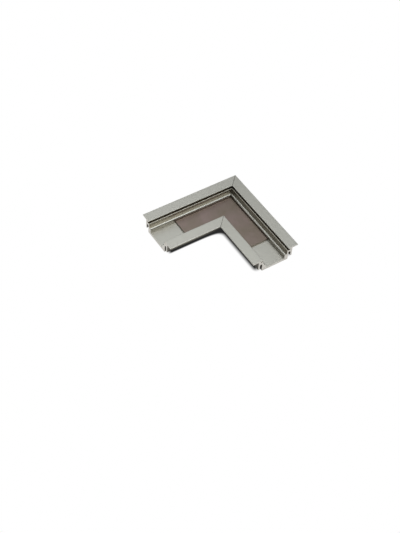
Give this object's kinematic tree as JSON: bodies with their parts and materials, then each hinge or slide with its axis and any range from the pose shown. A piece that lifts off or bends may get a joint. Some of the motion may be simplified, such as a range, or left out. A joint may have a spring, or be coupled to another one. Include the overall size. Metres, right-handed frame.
{
  "type": "led profile corner connector",
  "caption": "Right-angle corner of recessed LED strip channel, mitred from flanged aluminium extrusion with cover grooves and clip slots, and held in line by an L-shaped plate.",
  "frame": {"origin": "crossing of the two channel centrelines, on the underside of the floor", "axes": "+X along one arm and +Y along the other, away from the corner; +Z out of the channel's open mouth"},
  "size_m": [0.05, 0.05, 0.007],
  "materials": {
    "anodised_aluminium": "satin anodised, fine extrusion lines along each arm",
    "plate_steel": "dull brown-grey sheet"
  },
  "bodies": {
    "root": {"left_profile": "anodised_aluminium", "right_profile": "anodised_aluminium", "joining_plate": "plate_steel"}
  },
  "joints": []
}
